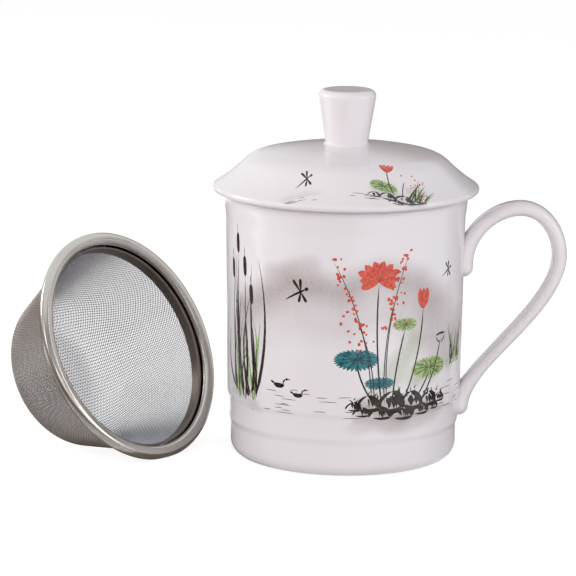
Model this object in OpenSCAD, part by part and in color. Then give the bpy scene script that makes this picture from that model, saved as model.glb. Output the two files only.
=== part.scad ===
// Lidded porcelain tea mug with a loose stainless-steel strainer standing beside it.
// The mug stands on z = 0 with its axis on the z axis, and its handle points to +x.
// Sizes are in millimetres.

/* [Cup] */
// Height of the cup from the table to its lip
cup_h = 100.2; // [85:0.1:125]
// Outer radius of the wall just below the flared lip
cup_r = 44.8; // [42:0.1:52]
// How much the wall narrows from there down to the upper base ring
cup_taper = 0.9; // [0:0.1:3]
// How far the lip flares out past the wall
lip_flare = 0.7; // [0.2:0.1:2]
// Height of the flared zone below the lip
lip_flare_h = 11; // [6:0.5:16]
// Thickness of the wall, and of the lip that is rounded over it
wall_t = 3.8; // [3:0.1:5]
// Thickness of the floor above the foot recess
floor_t = 4.6; // [3.5:0.1:7]
// Radius of the round corner inside, between wall and floor
inner_corner_r = 10; // [5:0.5:14]

/* [Base] */
// Height of the middle of the upper soft ring
ring_high_z = 23.4; // [19:0.1:26]
// Height of the middle of the lower soft ring
ring_low_z = 13.6; // [12:0.1:14]
// How far the wall steps in at each ring
ring_step = 0.75; // [0.3:0.05:1.5]
// Height over which each step is rounded
ring_round = 3.2; // [1:0.1:4]
// Depth of the shallow hollow between the two rings
ring_hollow = 0.2; // [0:0.05:0.6]
// Radius of the round corner at the bottom of the cup
corner_r = 5.6; // [4:0.1:8]
// Width of the unglazed ring that the cup stands on
foot_w = 3; // [2:0.1:5]
// Height of the recess inside the foot ring
foot_recess = 1.4; // [0.8:0.1:2.5]

/* [Handle] */
// Thickness of the handle strap over the top of the loop, seen from the front
strap_t = 5.6; // [4.5:0.1:7]
// Thickness that the strap narrows to on its way down to the lower root
strap_low_t = 4.3; // [3.5:0.1:6]
// Thickness that the strap swells to at its two pressed roots
root_t = 7.6; // [6:0.1:9.5]
// Distance from a tail over which the strap swells to that thickness
root_run = 24; // [14:0.5:30]
// Width of the handle strap, seen from the side
strap_w = 11.5; // [9:0.1:14]
// Width that the strap spreads to at its two pressed roots
root_w = 13; // [11:0.1:16]
// Squareness of the strap's section, where 2 is an ellipse
strap_square = 2.5; // [2:0.1:4]
// How far the strap's middle line stands off the wall at the knee
handle_reach = 35.6; // [28:0.1:44]
// How far below the lip the knee is
knee_drop = 24; // [18:0.1:30]
// How far off the wall the top of the loop is
crown_out = 20.8; // [15:0.1:26]
// How far below the lip the strap's middle line is at the top of the loop
crown_drop = 5.7; // [3:0.1:10]
// How far below the lip the upper tail ends
upper_tail_drop = 28.2; // [26:0.1:36]
// Height above the table at which the lower tail ends
lower_tail_z = 18.9; // [17:0.1:24]
// How far the strap's middle line stands out from the wall at both tails
tail_out = -0.5; // [-1:0.1:0.5]

/* [Lid] */
// How far the lid's rim stands out past the lip
lid_overhang = 4.3; // [2:0.1:6]
// Radius of the flat crown in the middle of the lid
crown_sphere_r = 152; // [120:1:250]
// How far in from the rim the shoulder starts
shoulder_in = 17.7; // [15:0.1:20]
// Radius of the round shoulder
shoulder_r = 13.9; // [10:0.1:16]
// Steepest slope of the lid, below the shoulder, in degrees
shoulder_slope = 44.8; // [38:0.1:48]
// Radius of the hollow flare between the shoulder and the rim
flare_r = 59; // [40:1:90]
// Radius of the rounded rim
lid_rim_round = 1.4; // [1:0.05:1.8]
// Thickness of the lid at its crown
lid_t = 3.4; // [2.5:0.1:4.5]
// Thickness of the locating ring under the lid
lid_ring_t = 3; // [2:0.1:4]
// How far the locating ring reaches down below the lid's seat
lid_ring_h = 4.2; // [2:0.1:4.3]
// Radial play of the locating ring inside the strainer's clamping band
lid_play = 0.8; // [0.4:0.1:1.5]
// Gap between the cup's lip and the lid that rests on it
seat_gap = 0.3; // [0.1:0.1:0.5]

/* [Knob] */
// Height of the knob above the lid's crown
knob_h = 20.3; // [14:0.1:26]
// Radius of the knob's waist, where it stands on the lid
knob_foot_r = 8; // [7:0.1:11]
// Radius of the knob near its top
knob_top_r = 10.8; // [8:0.1:13]
// Radius of the round edge at the top of the knob
knob_edge_r = 2.5; // [1.5:0.1:3.5]
// Radius of the fillet where the knob meets the lid
knob_fillet_r = 0.7; // [0.4:0.1:2.5]
// Depth of the shallow dish in the knob's top
knob_dish = 0.5; // [0.1:0.1:1]

/* [Strainer] */
// How far the strainer's rim stays in from the outer edge of the lip
rim_inset = 0.7; // [0.5:0.1:2]
// Radial play of the strainer's neck inside the cup's mouth
neck_play = 1.4; // [0.8:0.1:2.5]
// Thickness of the rim's rolled sheet
sheet_t = 0.5; // [0.4:0.05:0.8]
// Radius of the rolled bead on the rim's outer edge
bead_r = 2.2; // [1.8:0.1:2.3]
// Radius of the round edge between the rim's flange and its neck
neck_edge_r = 1.2; // [0.9:0.1:1.5]
// Depth of the neck below the middle of the bead
neck_h = 4.6; // [4.2:0.1:7]
// Depth of the clamping band's upper edge below the middle of the bead
band_z = 0.6; // [0.4:0.1:1.5]
// Thickness of the clamping band
band_t = 1; // [0.8:0.1:1.5]
// Thickness of the woven mesh
mesh_t = 0.5; // [0.4:0.05:0.7]
// Depth of the mesh bowl below the middle of the bead
bowl_depth = 40; // [28:0.1:44]
// How much the bowl narrows from its neck down to its corner
bowl_taper = 13.2; // [6:0.1:14.5]
// Radius of the round corner between the bowl's wall and its bottom
bowl_corner_r = 14; // [10:0.1:16]
// Spacing of the bars of the coarse grid that stands for the fine wire cloth
grid_pitch = 7.3; // [6.5:0.1:9]
// Width of the bars of that grid
grid_bar = 2.1; // [1.6:0.1:2.6]

/* [Placement] */
// Clear distance between the strainer and the cup's wall
strainer_gap = 4.5; // [2:0.1:30]
// How far the middle of the strainer's rim lies behind the mug's axis
strainer_y = -1.2; // [-10:0.1:10]
// How far the strainer's opening is turned from the mug's side to the front, in degrees
strainer_turn = 37; // [20:0.1:60]

/* [Hidden] */
$fn = 128;

porcelain = [0.95, 0.94, 0.94];
steel = [0.72, 0.70, 0.68];
mesh_steel = [0.62, 0.60, 0.58];

// Steps along the curves of the turned profiles and of the handle
arc_steps = 10;
bend_steps = 14;
section_sides = 24;

// Radii of the wall from the base up
waist_r = cup_r - cup_taper;
base_r = waist_r - 2 * ring_step;
lip_r = cup_r + lip_flare;
flare_z = cup_h - lip_flare_h;
mouth_r = lip_r - wall_t;

// The strainer's rim rests on the lip and its neck hangs in the mouth
rim_r = lip_r - rim_inset;
neck_r = mouth_r - neck_play - sheet_t;
bead_mid_r = rim_r - bead_r;
mesh_r = neck_r;
band_r = mesh_r - mesh_t;
bowl_foot_r = mesh_r - bowl_taper;

// The lid's seat and the circles at which its outline changes curve
lid_r = lip_r + lid_overhang;
seat_z = cup_h + seat_gap;
rim_start_r = lid_r - lid_rim_round / 2;
shoulder_at = lid_r - shoulder_in;
crown_slope = asin(shoulder_at / crown_sphere_r);
flare_at = shoulder_at + shoulder_r * (sin(shoulder_slope) - sin(crown_slope));
rim_slope = asin(sin(shoulder_slope) - (rim_start_r - flare_at) / flare_r);
crown_fall = crown_sphere_r * (1 - cos(crown_slope));
shoulder_fall = shoulder_r * (cos(crown_slope) - cos(shoulder_slope));
flare_fall = flare_r * (cos(rim_slope) - cos(shoulder_slope));
rim_fall = lid_rim_round * (1 + cos(rim_slope));
crown_z = seat_z + rim_fall + flare_fall + shoulder_fall + crown_fall;
lid_ring_r = band_r - band_t - lid_play;
roof_sphere_r = crown_sphere_r - lid_t;

// Slope of the bowl's wall, and the circle about which its corner is rounded
wall_lean = atan(bowl_taper / (bowl_depth - neck_h));
corner_mid_r = bowl_foot_r - bowl_corner_r / tan((90 + wall_lean) / 2);
corner_mid_z = bowl_depth - bowl_corner_r;

// The strainer lies on its bead and on the round corner of its bowl, which sets its tilt
lean_dr = bead_mid_r - corner_mid_r;
strainer_tilt = atan2(lean_dr, corner_mid_z)
              - asin((bowl_corner_r - bead_r) / norm([lean_dr, corner_mid_z]));
strainer_z = bead_mid_r * cos(strainer_tilt) + bead_r;
strainer_half = rim_r * norm([sin(strainer_turn), cos(strainer_turn) * sin(strainer_tilt)]);
strainer_x = -(lip_r + strainer_gap + strainer_half);

// Points along an arc about c from angle a0 to angle a1
function arc(c, r, a0, a1, n = arc_steps) =
    [for (i = [0:n]) let (a = a0 + (a1 - a0) * i / n) c + r * [cos(a), sin(a)]];

// Points of a soft step from one point of a profile to another, flat at both ends
function soft_step(p, q, n = arc_steps) =
    [for (i = [0:n]) let (t = i / n)
        [p[0] + (q[0] - p[0]) * (1 - cos(180 * t)) / 2, p[1] + (q[1] - p[1]) * t]];

function reversed(list) = [for (i = [len(list) - 1:-1:0]) list[i]];

// Outline of the cup from the foot ring's outer edge up to the lip
function cup_outside() =
    let (
        half = ring_round / 2,
        mid_r = base_r + ring_step,
        band_low = ring_low_z + half,
        band_high = ring_high_z - half
    )
    concat(
        arc([base_r - corner_r, corner_r], corner_r, -90, 0),
        soft_step([base_r, ring_low_z - half], [mid_r, band_low]),
        [for (i = [1:5]) let (t = i / 6)
            [mid_r - ring_hollow * sin(180 * t), band_low + (band_high - band_low) * t]],
        soft_step([mid_r, band_high], [waist_r, ring_high_z + half]),
        soft_step([cup_r, flare_z], [lip_r, cup_h - wall_t / 2])
    );

// Outline of the cup from the lip down the inside to the middle of the floor
function cup_inside() =
    let (floor_z = foot_recess + floor_t, wall_in_r = waist_r - wall_t)
    concat(
        arc([lip_r - wall_t / 2, cup_h - wall_t / 2], wall_t / 2, 15, 180),
        reversed(soft_step([cup_r - wall_t, flare_z], [mouth_r, cup_h - wall_t / 2 - 1])),
        arc([wall_in_r - inner_corner_r, floor_z + inner_corner_r], inner_corner_r, 0, -90),
        [[0, floor_z]]
    );

// Cup: wall, floor, soft base rings and foot ring, turned in one piece
module cup_body() {
    foot_in_r = base_r - corner_r - foot_w;
    color(porcelain)
        rotate_extrude()
            polygon(concat(
                [[0, foot_recess], [foot_in_r - foot_recess, foot_recess], [foot_in_r, 0]],
                cup_outside(),
                cup_inside()
            ));
}

// The cup's outside as a full solid, which cuts the handle's roots to the wall
module cup_core() {
    rotate_extrude()
        polygon(concat([[0, 0]], cup_outside(), [[lip_r, cup_h], [0, cup_h]]));
}

// Point on a cubic curve that leaves p along u and reaches q along v
function curve(p, u, v, q, t) =
    pow(1 - t, 3) * p + 3 * pow(1 - t, 2) * t * (p + u)
    + 3 * (1 - t) * t * t * (q - v) + pow(t, 3) * q;

function curve_run(p, u, v, q, from, n) =
    [for (i = [from:n]) curve(p, u, v, q, i / n)];

// Middle line of the handle from the upper tail over the top to the lower tail, in x and z
function handle_line() =
    let (
        top = [cup_r + tail_out, cup_h - upper_tail_drop],
        crown = [cup_r + crown_out, cup_h - crown_drop],
        knee = [cup_r + handle_reach, cup_h - knee_drop],
        foot = [waist_r + tail_out, lower_tail_z],
        rise = crown[1] - top[1],
        span = knee[0] - crown[0],
        fall = knee[1] - foot[1]
    )
    concat(
        curve_run(top, [0, 0.54 * rise], [0.5 * crown_out, 0], crown, 0, bend_steps),
        curve_run(crown, [0.59 * span, 0], [0, 0.52 * (knee[1] - crown[1])], knee,
                  1, bend_steps),
        curve_run(knee, [-0.016, -0.358] * fall, [-0.052, -0.288] * fall, foot,
                  1, 2 * bend_steps)
    );

// How far the strap has swollen at point p of its middle line, from 0 up to 1 at a tail
function root_swell(p, line) =
    let (away = min(norm(p - line[0]), norm(p - line[len(line) - 1])))
    pow(max(0, 1 - away / root_run), 2);

// Thickness of the strap without that swelling, at point i of the middle line
function strap_at(i) =
    strap_t + (strap_low_t - strap_t) * max(0, i / (2 * bend_steps) - 1);

// One cross-section of the strap, square to the middle line, of thickness t and width w
function strap_ring(p, dir, t, w) =
    let (side = [dir[1], -dir[0]])
    [for (k = [0:section_sides - 1])
        let (
            a = 360 * k / section_sides,
            u = sign(cos(a)) * pow(abs(cos(a)), 2 / strap_square) * t / 2,
            v = sign(sin(a)) * pow(abs(sin(a)), 2 / strap_square) * w / 2
        )
        [p[0] + side[0] * u, v, p[1] + side[1] * u]];

// A cross-section of the rounded end past a tail, a degrees round from the tail to the tip
function end_ring(p, dir, a) =
    strap_ring(p + dir * root_t / 2 * sin(a), dir, root_t * cos(a), root_w * cos(a));

// Handle: a pulled strap whose two tails are pressed flat along the wall
module handle() {
    line = handle_line();
    last = len(line) - 1;
    dirs = [for (i = [0:last])
        let (d = line[min(i + 1, last)] - line[max(i - 1, 0)]) d / norm(d)];
    end_angles = [80, 60, 40, 20];
    rings = concat(
        [for (a = end_angles) end_ring(line[0], dirs[0], -a)],
        [for (i = [0:last])
            let (swell = root_swell(line[i], line), t = strap_at(i))
            strap_ring(line[i], dirs[i], t + (root_t - t) * swell,
                       strap_w + (root_w - strap_w) * swell)],
        [for (a = reversed(end_angles)) end_ring(line[last], dirs[last], a)]
    );
    n = section_sides;
    count = len(rings);
    sides = [for (i = [0:count - 2], k = [0:n - 1])
        [i * n + k, i * n + (k + 1) % n, (i + 1) * n + (k + 1) % n, (i + 1) * n + k]];
    ends = [[for (k = [n - 1:-1:0]) k], [for (k = [0:n - 1]) (count - 1) * n + k]];
    color(porcelain)
        difference() {
            polyhedron(points = [for (r = rings, p = r) p], faces = concat(sides, ends));
            cup_core();
        }
}

// Outline of the lid's crown, about a sphere whose top is at top_z, out to radius end_r
function crown_arc(sphere_r, top_z, end_r) =
    arc([0, top_z - sphere_r], sphere_r, 90, 90 - asin(end_r / sphere_r));

// Outline of the lid's outside from the middle of the crown to the rim's lower edge
function lid_outside() =
    let (
        shoulder_mid = [shoulder_at, crown_z - crown_fall]
                     - shoulder_r * [sin(crown_slope), cos(crown_slope)],
        flare_start = shoulder_mid + shoulder_r * [sin(shoulder_slope), cos(shoulder_slope)],
        flare_mid = flare_start + flare_r * [sin(shoulder_slope), cos(shoulder_slope)],
        rim_start = flare_mid - flare_r * [sin(rim_slope), cos(rim_slope)],
        rim_mid = rim_start - lid_rim_round * [sin(rim_slope), cos(rim_slope)]
    )
    concat(
        crown_arc(crown_sphere_r, crown_z, shoulder_at),
        arc(shoulder_mid, shoulder_r, 90 - crown_slope - 2, 90 - shoulder_slope),
        arc(flare_mid, flare_r, 270 - shoulder_slope + 1, 270 - rim_slope),
        arc(rim_mid, lid_rim_round, 90 - rim_slope - 8, -90)
    );

// Lid: an ogee dome with a flat seat for the lip and a locating ring below it
module lid_dome() {
    ring_in_r = lid_ring_r - lid_ring_t;
    ring_round = lid_ring_t / 2;
    ring_end_z = seat_z - lid_ring_h + ring_round;
    roof = crown_arc(roof_sphere_r, crown_z - lid_t, ring_in_r - lid_t);
    color(porcelain)
        rotate_extrude()
            polygon(concat(
                lid_outside(),
                [[lid_ring_r, seat_z]],
                arc([lid_ring_r - ring_round, ring_end_z], ring_round, 0, -180),
                [[ring_in_r, roof[arc_steps][1] - lid_t]],
                reversed(roof)
            ));
}

// Knob: a waisted stem that widens upward, cut to the crown that it stands on
module lid_knob() {
    top_z = crown_z + knob_h;
    shoulder_z = top_z - knob_edge_r;
    foot_z = crown_z + knob_fillet_r;
    color(porcelain)
        rotate_extrude()
            polygon(concat(
                crown_arc(crown_sphere_r, crown_z, knob_foot_r + knob_fillet_r),
                arc([knob_foot_r + knob_fillet_r, foot_z], knob_fillet_r, -92, -180),
                arc([knob_top_r - knob_edge_r, shoulder_z], knob_edge_r, -6, 90),
                [for (i = [1:6]) let (t = 1 - i / 6)
                    [(knob_top_r - knob_edge_r) * t, top_z - knob_dish * (1 - t * t)]]
            ));
}

// Carries the strainer from its own axis to where it lies, leaning on its bowl
module strainer_place() {
    translate([strainer_x, strainer_y, strainer_z])
        rotate([0, 0, -strainer_turn])
            rotate([0, 90 - strainer_tilt, 0])
                children();
}

// Rim of the strainer: one pressed sheet ring with a neck, a flange and a rolled bead
module strainer_rim() {
    edge = [neck_r + neck_edge_r, bead_r - neck_edge_r];
    bead = [bead_mid_r, 0];
    roll_end = -200;
    color(steel)
        strainer_place()
            rotate_extrude()
                polygon(concat(
                    [[neck_r, -neck_h]],
                    arc(edge, neck_edge_r, 180, 90),
                    arc(bead, bead_r, 90, roll_end, 2 * arc_steps),
                    arc(bead, bead_r - sheet_t, roll_end, 90, 2 * arc_steps),
                    arc(edge, neck_edge_r - sheet_t, 90, 180),
                    [[neck_r + sheet_t, -neck_h]]
                ));
}

// Clamping band inside the neck, which holds the edge of the mesh against it
module strainer_band() {
    band_in_r = band_r - band_t;
    round_r = band_t * 0.9;
    color(steel)
        strainer_place()
            rotate_extrude()
                polygon(concat(
                    [[band_in_r, -neck_h], [band_r, -neck_h], [band_r, -band_z]],
                    arc([band_in_r + round_r, -band_z - round_r], round_r, 90, 180)
                ));
}

// Nearest distance to the bowl's axis of the opening in column i and row j of the grid
function opening_near(i, j) =
    let (half = (grid_pitch - grid_bar) / 2)
    norm([max(0, abs(i) * grid_pitch - half), max(0, abs(j) * grid_pitch - half)]);

// Square openings of the coarse grid, along the bowl's axis, up to a bar's width below the neck
module mesh_openings() {
    side = grid_pitch - grid_bar;
    count = floor(mesh_r / grid_pitch);
    tall = bowl_depth + 1 - neck_h - grid_bar;
    for (i = [-count:count], j = [-count:count])
        if (opening_near(i, j) < mesh_r - grid_bar * 1.5)
            translate([i * grid_pitch - side / 2, j * grid_pitch - side / 2, -bowl_depth - 1])
                cube([side, side, tall]);
}

// Bowl of woven wire mesh, as a thin shell with a coarse grid of openings
module strainer_mesh() {
    corner = [corner_mid_r, -corner_mid_z];
    lip_z = -band_z - mesh_t;
    color(mesh_steel)
        strainer_place()
            difference() {
                rotate_extrude()
                    polygon(concat(
                        [[0, -bowl_depth]],
                        arc(corner, bowl_corner_r, -90, -wall_lean),
                        [[mesh_r, -neck_h], [mesh_r, lip_z], [mesh_r - mesh_t, lip_z]],
                        [[mesh_r - mesh_t, -neck_h]],
                        arc(corner, bowl_corner_r - mesh_t, -wall_lean, -90),
                        [[0, mesh_t - bowl_depth]]
                    ));
                mesh_openings();
            }
}

cup_body();
handle();
lid_dome();
lid_knob();
strainer_rim();
strainer_band();
strainer_mesh();
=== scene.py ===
# Lidded porcelain tea mug with an underside locating ring, and its steel strainer lying beside it.
# Sizes of the pieces are in millimetres, and mm turns them into metres. Camera, lamps and cards are
# laid out in metres.
from math import (asin, atan, atan2, ceil, copysign, cos, degrees, hypot, pi, radians, sin, tan,
                  tau)

import bpy
import numpy as np
from mathutils import Euler, Matrix, Vector


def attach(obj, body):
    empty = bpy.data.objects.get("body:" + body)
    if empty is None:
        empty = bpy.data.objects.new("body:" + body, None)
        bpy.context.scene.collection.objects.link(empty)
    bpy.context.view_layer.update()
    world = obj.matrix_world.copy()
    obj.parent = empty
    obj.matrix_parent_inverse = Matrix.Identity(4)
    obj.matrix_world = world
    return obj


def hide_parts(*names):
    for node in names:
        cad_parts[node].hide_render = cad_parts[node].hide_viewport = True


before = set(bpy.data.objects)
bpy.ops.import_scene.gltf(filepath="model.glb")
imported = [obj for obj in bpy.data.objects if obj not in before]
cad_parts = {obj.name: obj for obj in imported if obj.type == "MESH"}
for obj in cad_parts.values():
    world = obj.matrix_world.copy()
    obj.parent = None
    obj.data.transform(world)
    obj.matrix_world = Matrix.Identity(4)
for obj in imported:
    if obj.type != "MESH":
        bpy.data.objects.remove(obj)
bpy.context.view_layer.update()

mm = 0.001


# ---- Camera ----
# A long lens about 1.3 m in front of the set, looking a little down on it. The camera is rolled a
# little about its own axis first, and then tilted.
camera_place = (-0.0213, -1.320, 0.326)
look_down = 11.27
camera_roll = 0.6
lens_length = 223.8

bpy.ops.object.camera_add(location=camera_place)
camera = bpy.context.object
camera.name = "camera"
camera.rotation_mode = "ZXY"
camera.rotation_euler = (radians(90 - look_down), 0, radians(camera_roll))
camera.data.sensor_width = 36
camera.data.lens = lens_length
bpy.context.scene.camera = camera


# ---- Studio ----
# A white table top that runs on as its own backdrop, under four soft lamps: two at the left, one
# high in front and one at the right, with a little even light from all round. Dark cards give
# steel and glaze something dark to mirror.
room_light = 0.3
table_glow = 0.87
table_size = 9
just_under_feet = -0.2 * mm
lamps_aim = Vector((0, 0, 0.06))
felt_black = (0.24, 0.19, 0.155, 1)
on_table = 0.8 * mm

bpy.context.scene.view_settings.view_transform = "Standard"


def node(tree, kind, **given):
    """A shader node. Lower-case words are its settings, and the others its inputs by name, or by
    number as i0 and so on. An input takes a value, an output, or a node for its first output."""
    made = tree.nodes.new(kind if kind.startswith("NodeGroup") else "ShaderNode" + kind)
    for key, value in given.items():
        numbered = key[0] == "i" and key[1:].isdigit()
        if key[0].islower() and not numbered:
            setattr(made, key, value)
            continue
        socket = made.inputs[int(key[1:]) if numbered else key.replace("_", " ")]
        if isinstance(value, bpy.types.Node):
            value = value.outputs[0]
        if isinstance(value, bpy.types.NodeSocket):
            tree.links.new(value, socket)
        else:
            socket.default_value = value
    return made


def emptied(owner):
    """The shader nodes of a material or world, with the ones it came with taken out."""
    owner.use_nodes = True
    owner.node_tree.nodes.clear()
    return owner.node_tree


def plain_view(tree):
    """1 where a ray comes straight, mirrored or through glass from the eye, and otherwise 0."""
    path = node(tree, "LightPath").outputs
    total = path["Is Camera Ray"]
    for ray in ("Is Glossy Ray", "Is Transmission Ray"):
        total = node(tree, "Math", operation="MAXIMUM", i0=total, i1=path[ray])
    return total


world = bpy.data.worlds.new("studio")
bpy.context.scene.world = world
tree = emptied(world)
room = node(tree, "Background", Color=(1.0, 0.99, 1.0, 1), Strength=room_light)
paper = node(tree, "Background", Color=(1, 1, 1, 1), Strength=1)
seen = node(tree, "MixShader", i0=plain_view(tree), i1=room, i2=paper)
node(tree, "OutputWorld", Surface=seen)

bpy.ops.mesh.primitive_plane_add(size=table_size, location=(0, 0, just_under_feet))
table_top = bpy.context.object
table_top.name = "table_top"
white = bpy.data.materials.new("table_white")
tree = emptied(white)
matt = node(tree, "BsdfDiffuse", Color=(0.8, 0.8, 0.8, 1))
shaded = node(tree, "BsdfDiffuse", Color=(0.3, 0.3, 0.3, 1))
glow = node(tree, "Emission", Strength=table_glow)
both = node(tree, "AddShader", i0=shaded, i1=glow)
seen = node(tree, "MixShader", i0=plain_view(tree), i1=matt, i2=both)
node(tree, "OutputMaterial", Surface=seen)
table_top.data.materials.append(white)

# Each lamp is a square soft box with its place, side in metres, watts and colour.
for name, place, side, watts, colour in (
        ("left", (-1.15, -0.62, 0.55), 1.0, 5.1, (1.0, 0.96, 0.95)),
        ("side", (-1.28, 0.25, 0.50), 0.7, 8.3, (0.98, 1.0, 0.98)),
        ("front", (0.05, -1.60, 0.90), 1.1, 9.6, (1.0, 0.96, 0.955)),
        ("right", (1.15, -0.62, 0.55), 1.0, 6.4, (0.94, 0.96, 1.0))):
    bpy.ops.object.light_add(type="AREA", location=place)
    lamp = bpy.context.object
    lamp.name = name + "_lamp"
    lamp.rotation_euler = (lamps_aim - Vector(place)).to_track_quat("-Z", "Y").to_euler()
    lamp.data.size = side
    lamp.data.energy = watts
    lamp.data.color = colour

# Each card is seen only in what mirrors it. A row has its size and place in metres, its turn in
# degrees, how dark it is, and the share of its width and height over which its edges fade.
for name, size, place, turn, depth, fade in (
        ("low", (1.06, 0.94), (-0.40, -0.50, on_table), (0, 0, 0), 1.0, (0.12, 0.06)),
        ("nook", (0.60, 0.44), (-0.38, 0.28, on_table), (0, 0, 0), 1.0, (0.12, 0.14)),
        ("left", (0.36, 1.3), (-0.62, 0.05, 0.1), (0, 90, 0), 1.0, (0.2, 0.1)),
        ("corner", (1.1, 0.5), (-0.62, -1.0, 0.2), (90, 0, -32), 0.9, (0.2, 0.2)),
        ("far", (1.24, 1.1), (0.60, 0.62, on_table), (0, 0, 0), 0.8, (0.05, 0.15)),
        ("back", (1.45, 1.5), (0.565, 1.18, 0.15), (90, 0, 0), 0.9, (0.097, 0.3)),
        ("edge", (0.9, 0.36), (-0.50, 1.18, 0.10), (90, 0, 0), 0.45, (0.3, 0.4)),
        ("under", (0.32, 0.14), (-0.12, -0.01, on_table), (0, 0, 0), 0.95, (0.25, 0.3)),
        ("foot", (0.24, 0.22), (0.14, 0.06, on_table), (0, 0, 0), 0.9, (0.15, 0.15)),
        ("front", (0.34, 0.22), (-0.10, -0.23, 0.185), (60, 0, -10), 0.9, (0.2, 0.2)),
        ("right", (0.21, 0.25), (0.040, -0.149, 0.162), (56, 0, 52), 0.8, (0.15, 0.2)),
        ("rim", (0.22, 0.20), (-0.308, -0.083, 0.193), (55, 0, -75), 0.85, (0.2, 0.2))):
    bpy.ops.mesh.primitive_plane_add(size=1, location=place,
                                     rotation=[radians(angle) for angle in turn])
    card = bpy.context.object
    card.name = name + "_card"
    card.scale = (size[0], size[1], 1)
    felt = bpy.data.materials.new(card.name)
    tree = emptied(felt)
    spot = node(tree, "TexCoord").outputs["Object"]
    axes = node(tree, "SeparateXYZ", Vector=spot)
    amount = depth
    for axis, width in zip("XY", fade):
        away = node(tree, "Math", operation="ABSOLUTE", i0=axes.outputs[axis])
        edge = node(tree, "MapRange", interpolation_type="SMOOTHSTEP", Value=away, From_Min=0.5,
                    From_Max=0.5 - width)
        amount = node(tree, "Math", operation="MULTIPLY", i0=amount, i1=edge)
    black = node(tree, "BsdfDiffuse", Color=felt_black)
    clear = node(tree, "BsdfTransparent")
    mixed = node(tree, "MixShader", i0=amount, i1=clear, i2=black)
    node(tree, "OutputMaterial", Surface=mixed)
    card.data.materials.append(felt)
    card.visible_camera = card.visible_diffuse = card.visible_transmission = False
    card.visible_shadow = False


# ---- Cup body ----
# White porcelain, turned and then cast in one piece: a foot ring, two soft rings round the base,
# a wall that narrows a little toward them, and a flared lip.
# It is glazed all over but for the foot ring's underside.
cup_height = 100.2
cup_radius = 44.8
cup_taper = 0.9
lip_flare = 0.7
lip_flare_height = 11
wall = 3.8
floor_thickness = 4.6
inner_corner = 10
ring_high = 23.4
ring_low = 13.6
ring_step = 0.75
ring_round = 3.2
ring_hollow = 0.2
inner_lip_drop = 1
foot_corner = 5.6
foot_width = 3
foot_recess = 1.4
outer_pitch = 0.9
inner_pitch = 4
hollow_steps = 8
wide_turns = 320
weld = 0.001 * mm
glaze_ior = 1.5

waist_radius = cup_radius - cup_taper
base_radius = waist_radius - 2 * ring_step
lip_radius = cup_radius + lip_flare
mouth_radius = lip_radius - wall


def arc(middle, radius, start, end, steps=12):
    """Points round a middle, from one angle to another, in degrees."""
    angles = [radians(start + (end - start) * i / steps) for i in range(steps + 1)]
    return [(middle[0] + radius * cos(a), middle[1] + radius * sin(a)) for a in angles]


def soft_step(first, last, steps=14):
    """Points of a step that starts and ends upright."""
    return [(first[0] + (last[0] - first[0]) * ((1 - cos(pi * i / steps)) / 2),
             first[1] + (last[1] - first[1]) * (i / steps)) for i in range(steps + 1)]


def evenly(outline, pitch):
    """The outline with points added, so that none is further than pitch from the next."""
    points = [outline[0]]
    for (r0, z0), (r1, z1) in zip(outline, outline[1:]):
        count = max(1, ceil(hypot(r1 - r0, z1 - z0) / pitch))
        points += [(r0 + (r1 - r0) * i / count, z0 + (z1 - z0) * i / count)
                   for i in range(1, count + 1)]
    return points


def begun(name, primitive, **settings):
    """A new piece that starts as this primitive, with nothing else selected."""
    bpy.ops.object.select_all(action="DESELECT")
    primitive(**settings)
    piece = bpy.context.object
    piece.name = piece.data.name = name
    return piece


def editing(on=True):
    """Starts or ends the editing of the piece in hand."""
    bpy.ops.object.mode_set(mode="EDIT" if on else "OBJECT")


def turned_out():
    """Turns all faces of the piece in hand outwards, and ends its editing."""
    bpy.ops.mesh.select_all(action="SELECT")
    bpy.ops.mesh.normals_make_consistent(inside=False)
    editing(False)


def modified(piece, kind, **settings):
    """Gives a piece a modifier of this kind with its settings, and applies it."""
    change = piece.modifiers.new(kind, kind)
    for key, value in settings.items():
        setattr(change, key, value)
    bpy.ops.object.modifier_apply(modifier=kind)


def turned(name, outline, turns=256, crease=40):
    """A piece turned about the z axis on a wheel, from its outline of (radius, height) points."""
    piece = begun(name, bpy.ops.mesh.primitive_plane_add, size=mm)
    editing()
    bpy.ops.mesh.merge(type="CENTER")
    bpy.ops.transform.translate(value=(outline[0][0] * mm, 0, outline[0][1] * mm))
    for (r0, z0), (r1, z1) in zip(outline, outline[1:]):
        step = ((r1 - r0) * mm, 0, (z1 - z0) * mm)
        bpy.ops.mesh.extrude_region_move(TRANSFORM_OT_translate={"value": step})
    editing(False)
    modified(piece, "SCREW", angle=tau, steps=turns, render_steps=turns,
             use_merge_vertices=True, merge_threshold=weld)
    editing()
    bpy.ops.mesh.select_all(action="SELECT")
    bpy.ops.mesh.remove_doubles(threshold=weld)
    turned_out()
    bpy.ops.object.shade_smooth_by_angle(angle=radians(crease))
    return piece


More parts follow.
